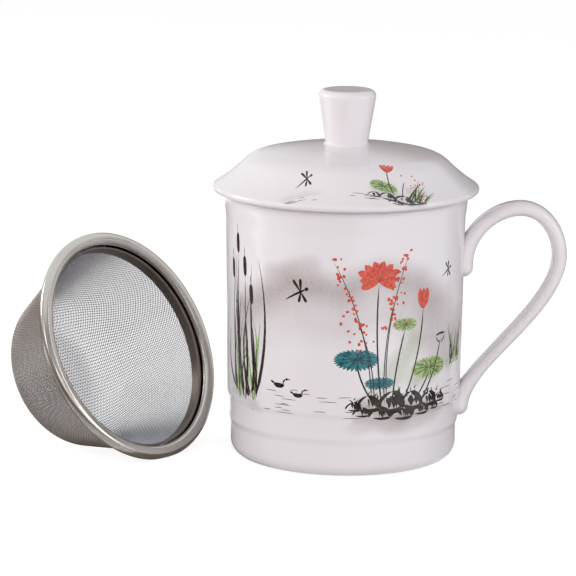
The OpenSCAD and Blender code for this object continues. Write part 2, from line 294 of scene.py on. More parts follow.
flare_height = cup_height - lip_flare_height
ring_middle = base_radius + ring_step
hollow_low = ring_low + ring_round / 2
hollow_high = ring_high - ring_round / 2
cup_outside = (
    arc((base_radius - foot_corner, foot_corner), foot_corner, -90, 0)
    + soft_step((base_radius, ring_low - ring_round / 2), (ring_middle, hollow_low))
    + [(ring_middle - ring_hollow * sin(pi * i / hollow_steps),
        hollow_low + (hollow_high - hollow_low) * i / hollow_steps)
       for i in range(1, hollow_steps)]
    + soft_step((ring_middle, hollow_high), (waist_radius, ring_high + ring_round / 2))
    + soft_step((cup_radius, flare_height), (lip_radius, cup_height - wall / 2))
)
cup_floor = foot_recess + floor_thickness
foot_inside = base_radius - foot_corner - foot_width
cup_inside = (
    arc((lip_radius - wall / 2, cup_height - wall / 2), wall / 2, 12, 180)
    + soft_step((cup_radius - wall, flare_height),
                (mouth_radius, cup_height - wall / 2 - inner_lip_drop))[::-1]
    + arc((waist_radius - wall - inner_corner, cup_floor + inner_corner), inner_corner, 0, -90)
    + [(0, cup_floor)]
)
cup_outline = (
    [(0, foot_recess), (foot_inside - foot_recess, foot_recess), (foot_inside, 0)]
    + evenly(cup_outside, outer_pitch) + evenly(cup_inside, inner_pitch)
)
cup = turned("cup_body_porcelain", cup_outline, wide_turns)


def brushed(points, path, width, crisp, seed, wobble=0.2):
    """How deeply a wet brush drawn along path colours each point, from 0 up to 1. A crisp wash ends
    sooner at its upper side than at its lower, and its edge wobbles in waves of four lengths."""
    draw = np.random.default_rng(seed)
    longest_wave = 2.6 * width
    far = np.full(len(points), 1e9)
    above = np.zeros(len(points))
    for a, b in zip(path, path[1:]):
        a, b = np.array(a, float), np.array(b, float)
        along = np.clip((points - a) @ (b - a) / max((b - a) @ (b - a), 1e-9), 0, 1)
        off = points - a - along[:, None] * (b - a)
        length = np.linalg.norm(off, axis=1)
        above = np.where(length < far, off[:, 1], above)
        far = np.minimum(far, length)
    far *= 1 + crisp * np.clip(0.5 + above / width, 0, 1)
    for scale in (0.5, 0.9, 1.7, 3.1):
        for _ in range(3):
            turn = draw.uniform(0, tau)
            wave = np.array([cos(turn), sin(turn)]) * tau / longest_wave * scale
            swing = np.sin(points @ wave + draw.uniform(0, tau))
            far += wobble * width / scale * 0.32 * swing
    t = np.clip(1 - far / width, 0, 1)
    return t * t * (3 - 2 * t)


def pigment(piece, points, washes):
    """Stores washes of mist, leaf green and umber on a piece, as the colours of one attribute."""
    depth = np.zeros((len(points), 4), np.float32)
    depth[:, 3] = 1
    for i, (colour, strength, width, path) in enumerate(washes):
        crisp = 1.6 if colour == "mist" else 0
        layer = strength * brushed(points, path, width, crisp, seed=i)
        k = ("mist", "leaf", "umber").index(colour)
        depth[:, k] = 1 - (1 - depth[:, k]) * (1 - layer)
    made = piece.data.color_attributes.new("pigment", "FLOAT_COLOR", "POINT")
    made.data.foreach_set("color", depth.ravel())


# The washes are laid out in millimetres round the cup from its front, and up from its foot. They
# go no deeper than this below its outside, and what is unpainted is put far away from them.
cup_wash_depth = 2.5
unpainted = (0, -500)
places = np.array([v.co for v in cup.data.vertices]) / mm
flat = np.stack([np.arctan2(places[:, 0], -places[:, 1]) * cup_radius, places[:, 2]], axis=1)
flat[np.hypot(places[:, 0], places[:, 1]) < waist_radius - cup_wash_depth] = unpainted
pigment(cup, flat, [
    ("mist", 0.58, 26, [(-40, 62), (-22, 72), (-2, 70), (12, 76), (28, 72), (36, 64)]),
    ("mist", 0.30, 12, [(-30, 76), (-14, 80)]),
    ("mist", 0.36, 6, [(4, 22), (24, 21), (44, 24)]),
    ("mist", 0.26, 5, [(-54, 27), (-38, 25)]),
    ("umber", 0.55, 6.5, [(8, 26), (38, 26)]),
    ("umber", 0.30, 6, [(-50, 40), (-46, 60)]),
    ("umber", 0.16, 5, [(51, 44), (55, 56)]),
    ("leaf", 0.42, 6.5, [(28, 36), (44, 40)]),
    ("leaf", 0.30, 6, [(14, 31), (26, 52)]),
    ("leaf", 0.40, 5, [(-52, 30), (-40, 34)]),
    ("leaf", 0.36, 4, [(48, 40), (58, 43)]),
])


def linear(red, green, blue):
    """A colour given from 0 to 255 as on a screen, in the renderer's own scale."""
    parts = [c / 255 for c in (red, green, blue)]
    return tuple(c / 12.92 if c <= 0.04045 else ((c + 0.055) / 1.055) ** 2.4 for c in parts) + (1,)


def shader_group(name, inputs):
    """An empty group of shader nodes that will put out a colour, a roughness and a normal, and
    the sockets of what it is given."""
    group = bpy.data.node_groups.new(name, "ShaderNodeTree")
    for label, kind, value in inputs:
        socket = group.interface.new_socket(label, in_out="INPUT", socket_type="NodeSocket" + kind)
        socket.default_value = value
    for label, kind in (("Color", "Color"), ("Roughness", "Float"), ("Normal", "Vector")):
        group.interface.new_socket(label, in_out="OUTPUT", socket_type="NodeSocket" + kind)
    return group, node(group, "NodeGroupInput").outputs


def toned(tree, value, low, dark, high, light):
    """A colour that goes from dark to light while the value goes from low to high."""
    ramp = node(tree, "ValToRGB", Fac=value)
    ends = ramp.color_ramp.elements
    ends[0].position, ends[1].position = low, high
    ends[0].color, ends[1].color = dark, light
    return ramp


# The glaze: a clear skin whose thickness and evenness vary a little over the body under it.
glaze, given = shader_group(
    "glaze", [("Vector", "Vector", (0, 0, 0)), ("Body", "Color", (0.8, 0.8, 0.8, 1))])
cloud = node(glaze, "TexNoise", Vector=given["Vector"], Scale=28.0, Detail=2.0)
thickness = toned(glaze, cloud, 0.35, (0.975, 0.97, 0.975, 1), 0.7, (1, 1, 1, 1))
tone = node(glaze, "Mix", data_type="RGBA", blend_type="MULTIPLY", i0=1.0, i6=given["Body"],
            i7=thickness)
polish = node(glaze, "TexNoise", Vector=given["Vector"], Scale=90.0, Detail=1.0)
gloss = node(glaze, "MapRange", Value=polish, To_Min=0.07, To_Max=0.12)
ripple = node(glaze, "TexNoise", Vector=given["Vector"], Scale=55.0, Detail=1.0)
skin = node(glaze, "Bump", Strength=0.06, Distance=0.05 * mm, Height=ripple)
node(glaze, "NodeGroupOutput", Color=tone.outputs[2], Roughness=gloss, Normal=skin)


def finished(tree, skin, **more):
    """Puts a group's colour, roughness and normal on the surface, which it gives back."""
    finish = node(tree, "BsdfPrincipled", Base_Color=skin.outputs["Color"],
                  Roughness=skin.outputs["Roughness"], Normal=skin.outputs["Normal"], **more)
    node(tree, "OutputMaterial", Surface=finish)
    return finish


def porcelain(name, decorated, foot=False):
    """Glazed porcelain, with painted washes under the glaze where it is decorated, and dry at the
    foot where it has one."""
    material = bpy.data.materials.new(name)
    tree = emptied(material)
    place = node(tree, "TexCoord").outputs["Object"]
    colour = linear(236, 231, 234)
    if decorated:
        wash = node(tree, "VertexColor", layer_name="pigment")
        parts = node(tree, "SeparateColor", Color=wash)
        grain = node(tree, "TexNoise", Vector=place, Scale=900.0, Detail=3.0, Roughness=0.6)
        settle = node(tree, "MapRange", Value=grain, From_Min=0.3, From_Max=0.7, To_Min=0.86,
                      To_Max=1.08)
        for part, tint in (("Red", linear(140, 122, 117)), ("Blue", linear(112, 92, 74)),
                           ("Green", linear(116, 152, 74))):
            amount = node(tree, "Math", operation="MULTIPLY", i0=parts.outputs[part], i1=settle)
            colour = node(tree, "Mix", data_type="RGBA", i0=amount, i6=colour, i7=tint).outputs[2]
    skin = node(tree, "Group", node_tree=glaze, Vector=place, Body=colour)
    finish = finished(tree, skin, IOR=glaze_ior)
    if foot:
        height = node(tree, "SeparateXYZ", Vector=place)
        bare = node(tree, "Math", operation="LESS_THAN", i0=height.outputs["Z"], i1=0.1 * mm)
        biscuit = node(tree, "Mix", data_type="RGBA", i0=bare, i6=skin.outputs["Color"],
                       i7=linear(214, 206, 198))
        dry = node(tree, "Mix", data_type="FLOAT", i0=bare, i2=skin.outputs["Roughness"], i3=0.75)
        tree.links.new(biscuit.outputs[2], finish.inputs["Base Color"])
        tree.links.new(dry.outputs[0], finish.inputs["Roughness"])
    return material


cup.data.materials.append(porcelain("cup_porcelain", decorated=True, foot=True))
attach(cup, "mug")
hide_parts("cup_body")


# ---- Cup decal in ink ----
# The print on the cup is a water lily pond, fired into the glaze, so it stands a hair proud of it.
# Its ink parts are the bank, the stems and veins, a seed head, the reeds, two dragonflies, two
# birds and ripples.
ink_proud = 0.055
ink_seed = 5
flower = (12, 74)
left_leaf = (4, 45)
low_leaf = (13, 36)
high_leaf = (23, 57.5)
right_leaf = (35, 40)


def touch(start, end, width, bend=0.0, thick=0.5, thin=0.5):
    """One touch of the brush from start to end: its middle lies bend to the left of the straight
    line, and it fills out from start as a power thick of the way, and thins to its end as thin."""
    start, end = np.array(start, float), np.array(end, float)
    aside = np.array([start[1] - end[1], end[0] - start[0]])
    control = (start + end) / 2 + 2 * bend * aside / max(np.linalg.norm(aside), 1e-6)
    return start, control, end, width, thick, thin


def on_touch(start, control, end, t):
    """The point that lies a share t along a touch."""
    return (1 - t) ** 2 * start + 2 * t * (1 - t) * control + t ** 2 * end


def painted(name, touches, proud, wrapped, paint):
    """A piece made of touches of the brush, each a copy of one touch, wrapped round a glazed face.
    A touch is domed across, and its underside is sunk a little into the glaze."""
    piece = begun(name, bpy.ops.mesh.primitive_grid_add, x_subdivisions=8, y_subdivisions=2, size=1)
    modified(piece, "SOLIDIFY", thickness=1, offset=-1)
    modified(piece, "ARRAY", use_relative_offset=False, count=len(touches))
    spots = np.zeros(len(piece.data.vertices) * 3)
    piece.data.vertices.foreach_get("co", spots)
    spots = spots.reshape(len(touches), -1, 3)
    for spot, (start, control, end, width, thick, thin) in zip(spots, touches):
        along, over, top = spot[:, 0:1] + 0.5, spot[:, 1:2] * 2, spot[:, 2] > -0.5
        way = (1 - along) * (control - start) + along * (end - control)
        way = way / np.linalg.norm(way, axis=1, keepdims=True)
        peak = thick / (thick + thin)
        full = peak ** thick * (1 - peak) ** thin
        breadth = np.maximum(along ** thick * (1 - along) ** thin / full, 0.06) * width / 2
        aside = np.stack([-way[:, 1], way[:, 0]], axis=1)
        height = np.where(top, proud * (1 - 0.6 * over[:, 0] ** 2), -0.05)
        spot[:] = wrapped(on_touch(start, control, end, along) + over * breadth * aside, height)
    piece.data.vertices.foreach_set("co", (spots * mm).ravel())
    bpy.ops.object.shade_smooth_by_angle(angle=radians(50))
    piece.data.materials.append(paint)
    return piece


def round_cup(flat, height):
    """Points of the cup's outside, from millimetres round it from its front, and up its wall."""
    wall_radius, level = zip(*cup_outside)
    radius = np.interp(flat[:, 1], level, wall_radius) + height
    angle = flat[:, 0] / cup_radius
    return np.stack([radius * np.sin(angle), -radius * np.cos(angle), flat[:, 1]], axis=1)


def veins(heart, size, count, width):
    """Touches from a round leaf's heart to its edge, for a leaf seen aslant."""
    made = []
    for i in range(count):
        turn = tau * (i + 0.5) / count
        tip = (heart[0] + size[0] / 2 * cos(turn), heart[1] + size[1] / 2 * sin(turn))
        made.append(touch(heart, tip, width, 0.05 * size[1] * cos(turn), 0.3, 0.5))
    return made


def dragonfly(at, length):
    """Touches of a dragonfly: a body with a round head, and two pairs of wings."""
    def spot(across, up):
        return (at[0] + across * length, at[1] + up * length)

    body = [touch(spot(-0.5, -0.3), spot(0.42, 0.2), 0.09 * length, 0.02 * length, 0.6, 0.3),
            touch(spot(0.38, 0.16), spot(0.52, 0.27), 0.15 * length)]
    wings = [touch(spot(0.2, 0.08), spot(0.2 + across, 0.08 + up), 0.12 * length, 0, 0.8, 0.3)
             for across, up in ((-0.36, 0.5), (-0.02, 0.56), (0.26, -0.42), (-0.08, -0.44))]
    return body + wings


def rock(draw, foot, width, height, lean):
    """A boulder's touches: a broken outline, heavy on its right, and dry strokes down that side."""
    x, y = foot
    left, top, right = (x - width / 2, y), (x + lean, y + height), (x + width / 2, y - 0.1 * height)
    made = [touch(left, top, 0.24 * height, 0.2 * height, 0.3, 0.6),
            touch(top, right, 0.42 * height, 0.22 * height, 0.4, 0.4),
            touch((x - 0.3 * width, right[1]), right, 0.3 * height, -0.1 * height, 0.6, 0.3)]
    for _ in range(11):
        t = draw.uniform(-0.16, 0.44)
        start = (x + t * width, y + height * draw.uniform(0.62, 0.86) * (1 - 1.2 * abs(t)))
        end = (start[0] + draw.uniform(0.02, 0.16) * width, y + height * draw.uniform(-0.12, 0.16))
        made.append(touch(start, end, draw.uniform(0.14, 0.34) * height, 0.06 * height, 0.25, 0.9))
    return made


def blades(draw, count, spread, foot, lean, tip, width, bend, thick=0.15, thin=0.8):
    """Touches of grass blades whose feet are spread from left to right, at one height or between
    two, and whose lean, tip, width and bend vary."""
    made = []
    for _ in range(count):
        u = draw.uniform(*spread)
        low = draw.uniform(*foot) if isinstance(foot, tuple) else foot
        made.append(touch((u, low), (u + draw.normal(*lean), draw.uniform(*tip)),
                          draw.uniform(*width), draw.normal(0, bend), thick, thin))
    return made


def fired_paint(name, light, dark):
    """A ceramic colour fired into the glaze, laid on unevenly, between a light and a dark tone."""
    material = bpy.data.materials.new(name)
    tree = emptied(material)
    place = node(tree, "TexCoord").outputs["Object"]
    load = node(tree, "TexNoise", Vector=place, Scale=620.0, Detail=3.0, Roughness=0.6)
    tone = toned(tree, load, 0.34, dark, 0.68, light)
    skin = node(tree, "Group", node_tree=glaze, Vector=place, Body=tone)
    finished(tree, skin, IOR=glaze_ior)
    return material


ink_paint = fired_paint("ink_paint", linear(62, 52, 46), linear(12, 10, 9))

draw = np.random.default_rng(ink_seed)
ink = []
for x, y, width, height, lean in (
        (3.0, 26.6, 6.0, 2.6, 0.2), (9.0, 27.0, 9.0, 4.6, -0.6), (17.5, 26.6, 10.5, 6.2, 0.6),
        (26.5, 26.8, 10.0, 5.2, -0.4), (34.5, 26.8, 8.5, 4.2, 0.8), (41.0, 27.0, 6.5, 2.6, 0.3),
        (6.0, 24.4, 6.5, 2.8, 0.4), (13.5, 23.4, 9.0, 3.8, -0.5), (22.5, 22.8, 10.0, 4.2, 0.5),
        (31.0, 23.6, 8.0, 3.4, 0.2), (37.5, 24.6, 6.0, 2.4, 0.3)):
    ink += rock(draw, (x, y), width, height, lean)
for _ in range(46):
    u = draw.uniform(2, 43)
    v = 28.5 + 3.2 * sin(pi * (u - 2) / 41) + draw.normal(0, 0.8)
    ink.append(touch((u, v), (u + draw.normal(0.3, 0.9), v + draw.uniform(0.8, 2.4)),
                     draw.uniform(0.3, 0.7), draw.normal(0, 0.3), 0.15, 0.8))
ink += [touch(base, tip, 0.62, bend, 0.05, 0.08) for base, tip, bend in (
    ((14, 27), (12, 73), 1.2), ((22, 27), (31, 63), -2.0), ((30, 27), (41, 50), -1.6),
    ((12, 27), (4, 44), 1.2), ((26, 27), (35, 39), -0.8), ((18, 27), (23, 56), 0.8))]
ink += [touch(base, tip, 0.42, bend, 0.05, 0.3) for base, tip, bend in (
    ((10, 28), (-5, 82), -3.5), ((11, 28), (3, 62), -2.0), ((16, 28), (24, 84), 3.5),
    ((15, 28), (18, 66), 1.5))]
ink += veins(left_leaf, (16, 7.4), 11, 0.34) + veins(right_leaf, (17, 7.6), 11, 0.34)
ink += veins(high_leaf, (10, 4.6), 9, 0.28) + veins(low_leaf, (11, 4.4), 9, 0.28)
for turn in (-72, -48, -24, 0, 24, 48, 72):
    a = radians(turn)
    tip = (flower[0] + 6.4 * sin(a), flower[1] + 6.2 * cos(a))
    ink.append(touch(flower, tip, 0.24, 0.2, 0.1, 0.6))
ink += [touch((38.2, 51.4), (44, 51.8), 0.9, 0.5), touch((38.6, 51), (41, 48.6), 0.5, -0.5),
        touch((43.6, 51.2), (41.2, 48.6), 0.5, 0.5)]
ink += blades(draw, 15, spread=(-53, -37), foot=(22, 29), lean=(-1, 3.5), tip=(44, 83),
              width=(0.7, 1.7), bend=2.2, thick=0.12, thin=0.9)
for u, v in ((-49, 80), (-44, 72), (-40, 62), (-53, 70)):
    ink += [touch((u + 2, 26), (u, v), 0.5, 0.8, 0.05, 0.1),
            touch((u, v), (u - 0.5, v + 8), 2.2, 0, 0.25, 0.25),
            touch((u - 0.5, v + 8), (u - 0.7, v + 11), 0.3)]
ink += blades(draw, 10, spread=(48, 58), foot=(38, 41), lean=(0.5, 2.5), tip=(48, 62),
              width=(0.6, 1.3), bend=1.2, thick=0.12, thin=0.9)
ink += dragonfly((-19, 69), 9) + dragonfly((44, 75), 6)
for u, v, size in ((-26, 34, 1.0), (-18, 31, 0.85)):
    for dx, dy, ex, ey, width, bend in (
            (-2.6, 0.4, 2.2, 0.2, 1.9, -0.5), (1.8, 0.4, 3.0, 2.4, 0.6, 0.5),
            (2.8, 2.2, 3.8, 2.5, 0.9, 0.1), (-2.2, 0.6, -3.9, 1.3, 0.8, 0.1)):
        ink.append(touch((u + dx * size, v + dy * size), (u + ex * size, v + ey * size),
                         width * size, bend * size))
for i in range(26):
    u, v = draw.uniform(-36, 4) if i % 3 else draw.uniform(40, 57), draw.uniform(22.5, 33)
    ink.append(touch((u, v), (u + draw.uniform(3, 8), v + draw.normal(0, 0.2)), 0.22, 0.15))
cup_ink = painted("cup_decal_ink", ink, ink_proud, round_cup, ink_paint)
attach(cup_ink, "mug")
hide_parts("cup_body")


# ---- Cup decal in red ----
# Iron red, fired on with the ink: the lily's flower and bud, the small blossoms along the tall
# weeds beside them, and the birds' beaks.
red_proud = 0.045
red_seed = 11

draw = np.random.default_rng(red_seed)
red = []
for turn in (-112, -84, -60, -36, -12, 12, 36, 60, 84, 112):
    a = radians(turn)
    reach = 9.2 if abs(turn) < 70 else 7.2
    tip = (flower[0] + reach * sin(a), flower[1] + 0.86 * reach * cos(a))
    red.append(touch(flower, tip, 2.9, 0.3 * copysign(1, turn), 0.7, 0.45))
red += [touch((31, 62.6), (31 + lean, 70.5), 2.4, -0.35 * lean, 0.6, 0.6)
        for lean in (-1.7, 0, 1.7)]
for base, tip, bend, count in (((6, 46), (-5, 83), -1.2, 34), ((7, 45), (3, 63), -0.8, 18),
                               ((19, 58), (24, 85), 1.4, 30), ((16, 50), (18, 67), 0.6, 18)):
    stem = touch(base, tip, 1, bend)[:3]
    for i in range(count):
        t = 0.25 + 0.75 * i / (count - 1)
        at = on_touch(*stem, t) + draw.normal(0, 2.6 * (1.15 - t) + 0.5, 2)
        turn = draw.uniform(0, tau)
        size = draw.uniform(0.45, 0.8)
        step = size * np.array([cos(turn), sin(turn)])
        red.append(touch(at - step, at + step, 1.5 * size))
red += [touch((-22.4, 36.6), (-21.2, 36.4), 0.5), touch((-14.9, 33.2), (-13.9, 33.0), 0.45)]
red_paint = fired_paint("red_paint", linear(228, 104, 82), linear(196, 52, 38))
cup_red = painted("cup_decal_red", red, red_proud, round_cup, red_paint)
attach(cup_red, "mug")
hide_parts("cup_body")


# ---- Cup decal in green ----
# Leaf green, fired on with the ink: one large floating leaf and a small one, and some of the reed
# blades.
green_proud = 0.035
green_seed = 23

draw = np.random.default_rng(green_seed)
green = veins(right_leaf, (18.5, 8.6), 30, 1.5) + veins(high_leaf, (11, 5.2), 22, 1.0)
green += blades(draw, 9, spread=(-51, -38), foot=(24, 30), lean=(0, 3), tip=(40, 62),
                width=(0.8, 1.6), bend=2)
green += blades(draw, 8, spread=(48, 58), foot=39, lean=(0, 2.5), tip=(45, 56),
                width=(0.7, 1.3), bend=1)
green_paint = fired_paint("green_paint", linear(182, 202, 142), linear(118, 150, 82))
cup_green = painted("cup_decal_green", green, green_proud, round_cup, green_paint)
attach(cup_green, "mug")
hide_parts("cup_body")


# ---- Cup decal in teal ----
# Teal, a copper colour fired on with the ink: two floating leaves beside the flower's stem, made
# of touches out from their hearts.
teal_proud = 0.035

teal = veins(left_leaf, (17.5, 8.4), 30, 1.5) + veins(low_leaf, (12, 5.0), 22, 1.1)
teal_paint = fired_paint("teal_paint", linear(74, 140, 146), linear(28, 92, 104))
cup_teal = painted("cup_decal_teal", teal, teal_proud, round_cup, teal_paint)
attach(cup_teal, "mug")
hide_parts("cup_body")


# ---- Handle ----
# A strap of clay pulled out by hand, bent into an ear and pressed on while damp, so that it swells
# at both roots.
strap_thickness = 5.6
strap_low_thickness = 4.3
root_thickness = 7.6
root_run = 24
strap_width = 11.5
root_width = 13
strap_square = 2.5
handle_reach = 35.6
knee_drop = 24
crown_out = 20.8
crown_drop = 5.7
upper_tail_drop = 28.2
lower_tail_height = 18.9
tail_out = -0.5
bends = 14
tail_angles = (18, 36, 54, 72, 84)
upper_pulls = (0.54, 0.5)
top_pulls = (0.59, 0.52)
lower_pulls = (0.358, 0.288)
lower_leans = (0.016, 0.052)


def curve(p, u, v, q, steps, first=0):
    """Points of a curve that leaves p along u and reaches q along v."""
    p, u, v, q = (np.array(a, float) for a in (p, u, v, q))
    return [(1 - t) ** 3 * p + 3 * (1 - t) ** 2 * t * (p + u) + 3 * (1 - t) * t * t * (q - v)
            + t ** 3 * q for t in (i / steps for i in range(first, steps + 1))]


tail = (cup_radius + tail_out, cup_height - upper_tail_drop)
crown = (cup_radius + crown_out, cup_height - crown_drop)
knee = (cup_radius + handle_reach, cup_height - knee_drop)
heel = (waist_radius + tail_out, lower_tail_height)
fall = knee[1] - heel[1]

# The pulls and leans are the shares of its rise, reach or fall by which a curve runs on straight
# where it starts and where it ends.
handle_line = (
    curve(tail, (0, upper_pulls[0] * (crown[1] - tail[1])), (upper_pulls[1] * crown_out, 0), crown,
          bends)
    + curve(crown, (top_pulls[0] * (knee[0] - crown[0]), 0),
            (0, top_pulls[1] * (knee[1] - crown[1])), knee, bends, 1)
    + curve(knee, (-lower_leans[0] * fall, -lower_pulls[0] * fall),
            (-lower_leans[1] * fall, -lower_pulls[1] * fall), heel, 2 * bends, 1)
)
last = len(handle_line) - 1
stations = []
for i, point in enumerate(handle_line):
    way = handle_line[min(i + 1, last)] - handle_line[max(i - 1, 0)]
    way = way / np.linalg.norm(way)
    away = min(np.linalg.norm(point - handle_line[0]), np.linalg.norm(point - handle_line[-1]))
    swell = max(0, 1 - away / root_run) ** 2
    plain = strap_thickness + (strap_low_thickness - strap_thickness) * max(0, i / (2 * bends) - 1)
    stations.append((point, way, plain + (root_thickness - plain) * swell,
                     strap_width + (root_width - strap_width) * swell))
for end, sign in ((0, -1), (-1, 1)):
    point, way, thickness, width = stations[end]
    tips = [(point + way * sign * root_thickness / 2 * sin(a), way,
             thickness * cos(a), width * cos(a)) for a in np.radians(tail_angles)]
    stations = tips[::-1] + stations if end == 0 else stations + tips

point, way, thickness, width = stations[0]
handle = begun("handle_porcelain", bpy.ops.mesh.primitive_circle_add, vertices=32, radius=1)
for v in handle.data.vertices:
    a, b = v.co.x, v.co.y
    v.co = (copysign(abs(a) ** (2 / strap_square), a) * thickness / 2 * mm,
            copysign(abs(b) ** (2 / strap_square), b) * width / 2 * mm, 0)
editing()
bpy.ops.mesh.select_all(action="SELECT")
turn = atan2(way[0], way[1])
bpy.ops.transform.rotate(value=-turn, orient_axis="Y", center_override=(0, 0, 0))
bpy.ops.transform.translate(value=(point[0] * mm, 0, point[1] * mm))
for after in stations[1:]:
    move = (after[0] - point) * mm
    centre = (after[0][0] * mm, 0, after[0][1] * mm)
    bpy.ops.mesh.extrude_region_move(TRANSFORM_OT_translate={"value": (move[0], 0, move[1])})
    next_turn = atan2(after[1][0], after[1][1])
    change = (next_turn - turn + pi) % tau - pi
    bpy.ops.transform.rotate(value=-change, orient_axis="Y", center_override=centre)
    grow = after[2] / thickness
    bpy.ops.transform.resize(value=(grow, after[3] / width, grow), center_override=centre)
    point, way, thickness, width = after
    turn = next_turn
bpy.ops.mesh.select_all(action="SELECT")
bpy.ops.mesh.select_mode(type="EDGE")
bpy.ops.mesh.select_all(action="DESELECT")
bpy.ops.mesh.select_non_manifold(extend=False)
bpy.ops.mesh.edge_face_add()
bpy.ops.mesh.select_mode(type="VERT")
turned_out()
modified(handle, "SUBSURF", levels=2, render_levels=2)
bpy.ops.object.shade_smooth()
handle.data.materials.append(porcelain("handle_porcelain", decorated=False))
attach(handle, "mug")
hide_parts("handle")


# ---- Lid ----
# A cast porcelain dome: a nearly flat crown, a round shoulder, a hollow flare and a rounded rim
# that stands out past the lip. A flat seat rests on the lip, and a ring below it keeps it in place.
lid_overhang = 4.3
crown_sphere = 152
shoulder_in = 17.7
shoulder_radius = 13.9
shoulder_slope = radians(44.8)
flare_radius = 59
lid_rim_round = 1.4
lid_thickness = 3.4
lid_ring_thickness = 3
lid_ring_height = 4.2
lid_ring_radius = 37.5
lid_ring_chamfer = 0.6
seat_gap = 0.3
lid_wash_depth = 1.5

lid_radius = lip_radius + lid_overhang
seat = cup_height + seat_gap
rim_start = lid_radius - lid_rim_round / 2
shoulder_at = lid_radius - shoulder_in
crown_slope = asin(shoulder_at / crown_sphere)
flare_at = shoulder_at + shoulder_radius * (sin(shoulder_slope) - sin(crown_slope))
rim_slope = asin(sin(shoulder_slope) - (rim_start - flare_at) / flare_radius)
crown_top = (
    seat + lid_rim_round * (1 + cos(rim_slope))
    + flare_radius * (cos(rim_slope) - cos(shoulder_slope))
    + shoulder_radius * (cos(crown_slope) - cos(shoulder_slope))
    + crown_sphere * (1 - cos(crown_slope))
)


def crown_arc(sphere, top, start, end, steps=24):
    """Outline of a lid's crown between two radii, on a sphere whose top is at the given height."""
    return arc((0, top - sphere), sphere, 90 - degrees(asin(start / sphere)),
               90 - degrees(asin(end / sphere)), steps)


def off(point, length, angle):
    """The point that lies a length off another, at an angle from the upright."""
    return (point[0] + length * sin(angle), point[1] + length * cos(angle))


shoulder_middle = off((shoulder_at, crown_top - crown_sphere * (1 - cos(crown_slope))),
                      -shoulder_radius, crown_slope)
flare_middle = off(shoulder_middle, shoulder_radius + flare_radius, shoulder_slope)
rim_middle = off(flare_middle, -flare_radius - lid_rim_round, rim_slope)
lid_top = (
    crown_arc(crown_sphere, crown_top, 0, shoulder_at)
    + arc(shoulder_middle, shoulder_radius, 90 - degrees(crown_slope) - 2,
          90 - degrees(shoulder_slope), 16)
    + arc(flare_middle, flare_radius, 270 - degrees(shoulder_slope) + 1,
          270 - degrees(rim_slope), 16)
)
lid_rim = arc(rim_middle, lid_rim_round, 90 - degrees(rim_slope) - 8, -90, 16)
ring_inside = lid_ring_radius - lid_ring_thickness
ring_end = seat - lid_ring_height + lid_ring_thickness / 2
roof = crown_arc(crown_sphere - lid_thickness, crown_top - lid_thickness, 0,
                 ring_inside - lid_thickness)
ceiling = roof[-1][1] - lid_thickness
lid_outline = (
    evenly(lid_top + lid_rim, outer_pitch)
    + [(lid_ring_radius + lid_ring_chamfer, seat), (lid_ring_radius, seat - lid_ring_chamfer)]
    + arc((lid_ring_radius - lid_ring_thickness / 2, ring_end), lid_ring_thickness / 2, 0, -180)
    + evenly([(ring_inside, ring_end), (ring_inside, ceiling)], 2)
    + arc((ring_inside - lid_thickness, ceiling), lid_thickness, 0, 80)
    + roof[::-1]
)
lid = turned("lid_dome_porcelain", lid_outline, wide_turns)

# The washes are laid out in millimetres to the right of the lid's middle and in front of it.
lid_reach, lid_level = zip(*lid_top)
places = np.array([v.co for v in lid.data.vertices]) / mm
flat = np.stack([places[:, 0], -places[:, 1]], axis=1)
top_level = np.interp(np.hypot(*flat.T), lid_reach, lid_level)
flat[places[:, 2] < top_level - lid_wash_depth] = unpainted
pigment(lid, flat, [
    ("mist", 0.30, 3.2, [(10, 44), (26, 42)]),
    ("leaf", 0.45, 3.0, [(10, 40), (16, 39)]),
    ("leaf", 0.35, 3.0, [(22, 38), (27, 36)]),
    ("mist", 0.20, 2.6, [(-24, 42), (-10, 43)]),
])
lid.data.materials.append(porcelain("lid_porcelain", decorated=True))
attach(lid, "lid")
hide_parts("lid_dome")


# ---- Lid decal in ink ----
# A small print on the lid's front slope, in the same colours: a bank with a leaf, a bud and reeds,
# and apart from it a dragonfly over ripples.
lid_seed = 31
slope_step = 0.3


def over_lid(flat, height):
    """Points of the lid's top, from millimetres to the right of its middle and behind it."""
    r = np.hypot(flat[:, 0], flat[:, 1])
    outer, inner = (np.interp(r + step, lid_reach, lid_level)
                    for step in (slope_step, -slope_step))
    fall = (outer - inner) / (2 * slope_step)
    long = np.hypot(1, fall)
    out = (r - height * fall / long) / r
    return np.stack([flat[:, 0] * out, flat[:, 1] * out,
                     np.interp(r, lid_reach, lid_level) + height / long], axis=1)


draw = np.random.default_rng(lid_seed)
ink = []
for x, y, width, height, lean in (
        (9.5, -43.6, 5.0, 1.4, 0.2), (14.5, -43.8, 6.5, 2.2, -0.3), (20.5, -43.6, 7.5, 2.8, 0.5),
        (26.0, -42.8, 5.5, 1.9, 0.3), (17.5, -45.2, 6.0, 1.5, 0.2), (23.5, -45.0, 5.5, 1.4, 0.2)):
    ink += rock(draw, (x, y), width, height, lean)
ink += blades(draw, 9, spread=(22, 28), foot=-42, lean=(1.5, 2), tip=(-38, -31),
              width=(0.4, 0.8), bend=0.6, thick=0.12, thin=0.9)
ink += [touch((17, -42), (14, -33), 0.4, 0.6, 0.05, 0.1),
        touch((20, -42), (20.5, -35), 0.35, 0.3, 0.05, 0.1)]
ink += veins((13, -39.5), (10, 3.6), 9, 0.26) + dragonfly((-16, -37), 6)
for i in range(14):
    u, v = draw.uniform(-24, -10) if i % 2 else draw.uniform(0, 8), draw.uniform(-45.5, -43)
    ink.append(touch((u, v), (u + draw.uniform(2, 5), v), 0.18, 0.1))
lid_ink = painted("lid_decal_ink", ink, ink_proud, over_lid, ink_paint)
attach(lid_ink, "lid")
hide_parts("lid_dome")


